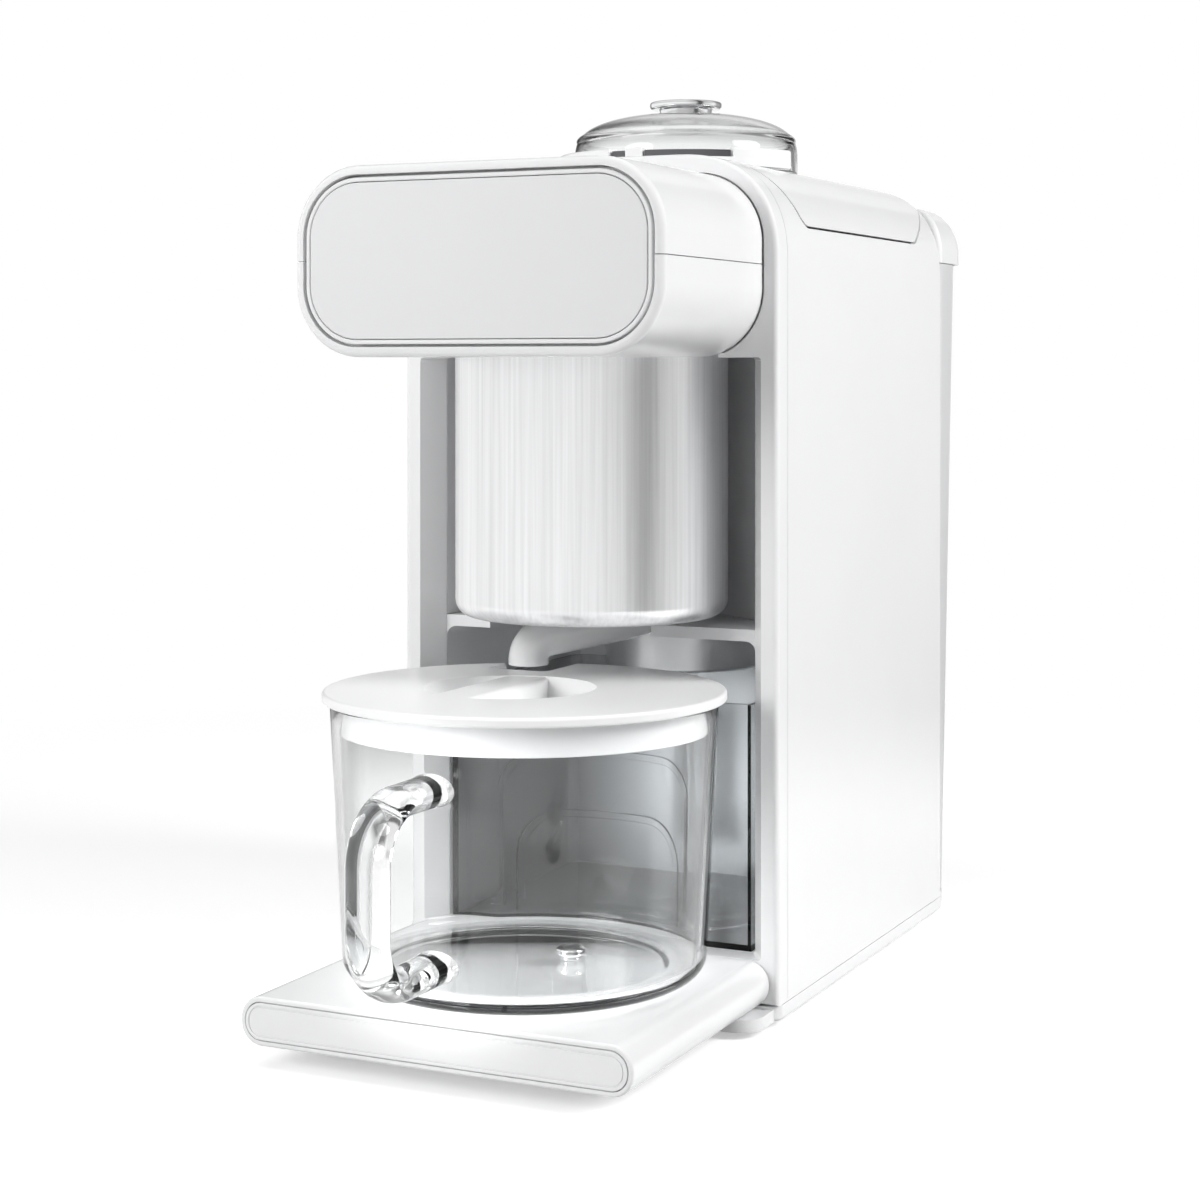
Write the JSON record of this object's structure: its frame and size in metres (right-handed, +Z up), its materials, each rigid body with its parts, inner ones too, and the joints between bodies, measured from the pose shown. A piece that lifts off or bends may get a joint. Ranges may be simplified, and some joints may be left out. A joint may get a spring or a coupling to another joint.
{
  "type": "soy milk maker",
  "caption": "Tall white countertop soy milk maker with a forward head, steel chamber, swivelling spout, clear dome lid, glass jug on a tray, waste box and rear water tank.",
  "frame": {"origin": "on the worktop under the middle of the object's box", "axes": "+Z up, -Y out of the front, where the head, the tray and the jug's handle point, +X to the object's right side seen in the picture"},
  "size_m": [0.178, 0.4679, 0.4008],
  "materials": {
    "white_gloss": "gloss",
    "white_satin": "satin",
    "pale_grey": "satin sheen",
    "clear_glass": "polished, clear",
    "clear_plastic": "clear plastic, gloss",
    "milky_plastic": "milky, slightly translucent",
    "brushed_steel": "brushed upright",
    "polished_steel": "polished",
    "cast_aluminium": "satin",
    "dark_rubber": "matte",
    "silicone": "soft matte",
    "circuit_green": "solder mask",
    "dark_iron": "laminated, dull",
    "black_plastic": "satin"
  },
  "bodies": {
    "machine": {"base_plate": "white_gloss", "front_foot_left": "dark_rubber", "front_foot_right": "dark_rubber", "rear_foot_left": "dark_rubber", "rear_foot_right": "dark_rubber", "main_housing": "white_gloss", "top_cover": "white_gloss", "front_frame": "white_gloss", "bay_liner": "white_satin", "niche_liner": "white_satin", "tray": "white_gloss", "tray_trim": "white_gloss", "head_upper_shell": "white_gloss", "head_lower_shell": "white_gloss", "face_ring": "white_gloss", "face_plate": "pale_grey", "control_panel": "white_satin", "control_board": "circuit_green", "grinding_cup": "polished_steel", "cup_support": "black_plastic", "motor_housing": "cast_aluminium", "motor_stator": "dark_iron", "lid_collar": "white_gloss", "chamber_sleeve": "brushed_steel", "mixing_pot": "polished_steel", "chamber_cover": "milky_plastic", "outlet_valve": "white_satin", "water_pump": "black_plastic", "flow_heater": "cast_aluminium", "pump_tube": "silicone", "inlet_tube": "silicone", "cup_feed_tube": "silicone", "transfer_tube": "silicone", "power_board": "circuit_green", "power_inlet": "black_plastic"},
    "dome_carrier": {"cup_gasket": "silicone"},
    "dome_lid": {"dome": "clear_glass", "dome_knob": "polished_steel"},
    "grinder": {"blade": "polished_steel", "drive_shaft": "polished_steel", "motor_rotor": "dark_iron"},
    "spout": {"spout": "white_gloss"},
    "waste_box": {"waste_box": "clear_plastic"},
    "jug": {"jug": "clear_glass", "jug_stud": "polished_steel"},
    "jug_lid": {"jug_lid": "white_gloss"},
    "water_tank": {"water_tank": "milky_plastic", "tank_valve": "black_plastic"},
    "tank_lid": {"tank_lid": "white_gloss"}
  },
  "joints": [
    {"name": "dome_lift", "type": "slide", "parent": "machine", "child": "dome_carrier", "axis": [0, 0, 1], "range_m": [0, 0.06]},
    {"name": "dome_twist", "type": "hinge", "parent": "dome_carrier", "child": "dome_lid", "pos_m": [0, 0.06355, 0.3663], "axis": [0, 0, 1], "range_deg": [0, 25]},
    {"name": "grinder_spin", "type": "hinge", "parent": "machine", "child": "grinder", "pos_m": [0, 0.06355, 0.2], "axis": [0, 0, 1], "continuous": true},
    {"name": "spout_swing", "type": "hinge", "parent": "machine", "child": "spout", "pos_m": [0.014, -0.00505, 0.177], "axis": [0, 0, -1], "range_deg": [0, 28]},
    {"name": "waste_box_slide", "type": "slide", "parent": "machine", "child": "waste_box", "axis": [0, -1, 0], "range_m": [0, 0.14]},
    {"name": "jug_slide", "type": "slide", "parent": "waste_box", "child": "jug", "axis": [0, -1, 0], "range_m": [0, 0.165]},
    {"name": "jug_lid_lift", "type": "slide", "parent": "jug", "child": "jug_lid", "axis": [0, 0, 1], "range_m": [0, 0.0145]},
    {"name": "tank_lift", "type": "slide", "parent": "machine", "child": "water_tank", "axis": [0, 0, 1], "range_m": [0, 0.08]},
    {"name": "tank_lid_lift", "type": "slide", "parent": "water_tank", "child": "tank_lid", "axis": [0, 0, 1], "range_m": [0, 0.035]}
  ]
}
